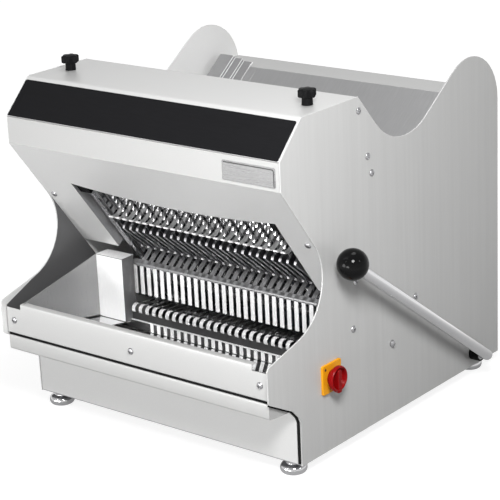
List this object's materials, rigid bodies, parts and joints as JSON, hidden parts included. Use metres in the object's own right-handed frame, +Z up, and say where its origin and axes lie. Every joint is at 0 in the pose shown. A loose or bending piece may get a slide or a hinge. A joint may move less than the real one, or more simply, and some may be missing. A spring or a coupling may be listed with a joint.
{
  "type": "bread slicer machine",
  "caption": "Counter-top bread slicer with sheet side panels, hooded reciprocating blade frames, tilted loaf bed, hand lever pusher, outfeed trough and crumb drawer.",
  "frame": {"origin": "floor level under the feet, midway between the side panels", "axes": "+Z up, -Y out of the front where slices leave, +X to the lever side"},
  "size_m": [0.6202, 0.6612, 0.5963],
  "materials": {
    "satin_sheet": "light satin sheet",
    "steel": "brushed",
    "polished": "polished",
    "black_plastic": "satin black",
    "black_ball": "glossy black",
    "yellow": "satin yellow",
    "red": "glossy red",
    "rubber": "matt",
    "cast": "grey",
    "alloy": "machined",
    "bronze": "plain"
  },
  "bodies": {
    "housing": {"left_side_panel": "satin_sheet", "right_side_panel": "satin_sheet", "top_cover": "satin_sheet", "band_trim": "black_plastic", "blank_plate": "steel", "front_panel": "satin_sheet", "hood_back": "satin_sheet", "front_apron": "satin_sheet", "trough_sheet": "polished", "left_guide": "polished", "right_guide": "polished", "upper_comb": "polished", "outfeed_grid": "polished", "lower_comb": "polished", "bed_plate": "steel", "bed_bars": "steel", "left_drive_cover": "satin_sheet", "right_side_cover": "satin_sheet", "rear_cover": "satin_sheet", "base_pan": "steel", "tray_runners": "steel", "left_bearing_plate": "steel", "right_bearing_plate": "steel", "upper_guide_blocks": "black_plastic", "lower_guide_blocks": "black_plastic", "crank_bearings": "steel", "lever_bushes": "bronze", "motor": "cast", "motor_bracket": "cast", "drive_belt": "rubber", "switch_plate": "yellow", "switch_body": "black_plastic", "cable_gland": "black_plastic", "knob_brackets": "steel", "feet": "polished", "right_panel_screws": "polished", "left_panel_screws": "polished", "front_screws": "polished", "panel_plug": "polished"},
    "front_blades": {"frame_a": "steel", "blades_a": "steel"},
    "rear_blades": {"frame_b": "steel", "blades_b": "steel"},
    "crank": {"crankshaft": "steel", "drive_pulley": "alloy"},
    "front_rods": {"conrods_a": "steel"},
    "rear_rods": {"conrods_b": "steel"},
    "motor_rotor": {"motor_pulley": "alloy"},
    "lever": {"lever_shaft": "steel", "lever_collar": "black_plastic", "lever_rod": "polished", "lever_ball": "black_ball", "pusher_arms": "steel", "pusher_plate": "steel"},
    "drawer": {"drawer_front": "satin_sheet", "crumb_tray": "steel"},
    "switch": {"switch_knob": "red"},
    "left_knob": {"left_thumb_knob": "black_plastic"},
    "right_knob": {"right_thumb_knob": "black_plastic"}
  },
  "joints": [
    {"name": "lever_swing", "type": "hinge", "parent": "housing", "child": "lever", "pos_m": [0, 0.216, 0.048], "axis": [-1, 0, 0], "range_deg": [0, 31]},
    {"name": "crank_spin", "type": "hinge", "parent": "housing", "child": "crank", "pos_m": [0, 0.028, 0.083], "axis": [1, 0, 0], "continuous": true},
    {"name": "motor_spin", "type": "hinge", "parent": "housing", "child": "motor_rotor", "pos_m": [0, 0.125, 0.084], "axis": [1, 0, 0], "continuous": true},
    {"name": "front_rods_turn", "type": "hinge", "parent": "crank", "child": "front_rods", "pos_m": [0, 0.012, 0.071], "axis": [1, 0, 0], "continuous": true},
    {"name": "rear_rods_turn", "type": "hinge", "parent": "crank", "child": "rear_rods", "pos_m": [0, 0.044, 0.095], "axis": [1, 0, 0], "continuous": true},
    {"name": "front_blades_slide", "type": "slide", "parent": "housing", "child": "front_blades", "axis": [0, -0.6, 0.8], "range_m": [-0.02, 0.02]},
    {"name": "rear_blades_slide", "type": "slide", "parent": "housing", "child": "rear_blades", "axis": [0, -0.6, 0.8], "range_m": [-0.02, 0.02]},
    {"name": "drawer_slide", "type": "slide", "parent": "housing", "child": "drawer", "axis": [0, -1, 0], "range_m": [0, 0.2]},
    {"name": "switch_turn", "type": "hinge", "parent": "housing", "child": "switch", "pos_m": [0, -0.192, 0.144], "axis": [1, 0, 0], "range_deg": [0, 90]},
    {"name": "left_knob_turn", "type": "hinge", "parent": "housing", "child": "left_knob", "pos_m": [-0.243, -0.17815, 0.58], "axis": [0, 0, 1], "continuous": true},
    {"name": "right_knob_turn", "type": "hinge", "parent": "housing", "child": "right_knob", "pos_m": [0.243, -0.17815, 0.58], "axis": [0, 0, 1], "continuous": true}
  ],
  "couplings": [
    {"joint": "motor_spin", "follows": "crank_spin", "ratio": 2.5556},
    {"joint": "front_rods_turn", "follows": "crank_spin", "ratio": -1},
    {"joint": "rear_rods_turn", "follows": "crank_spin", "ratio": -1},
    {"joint": "rear_blades_slide", "follows": "front_blades_slide", "ratio": -1}
  ]
}
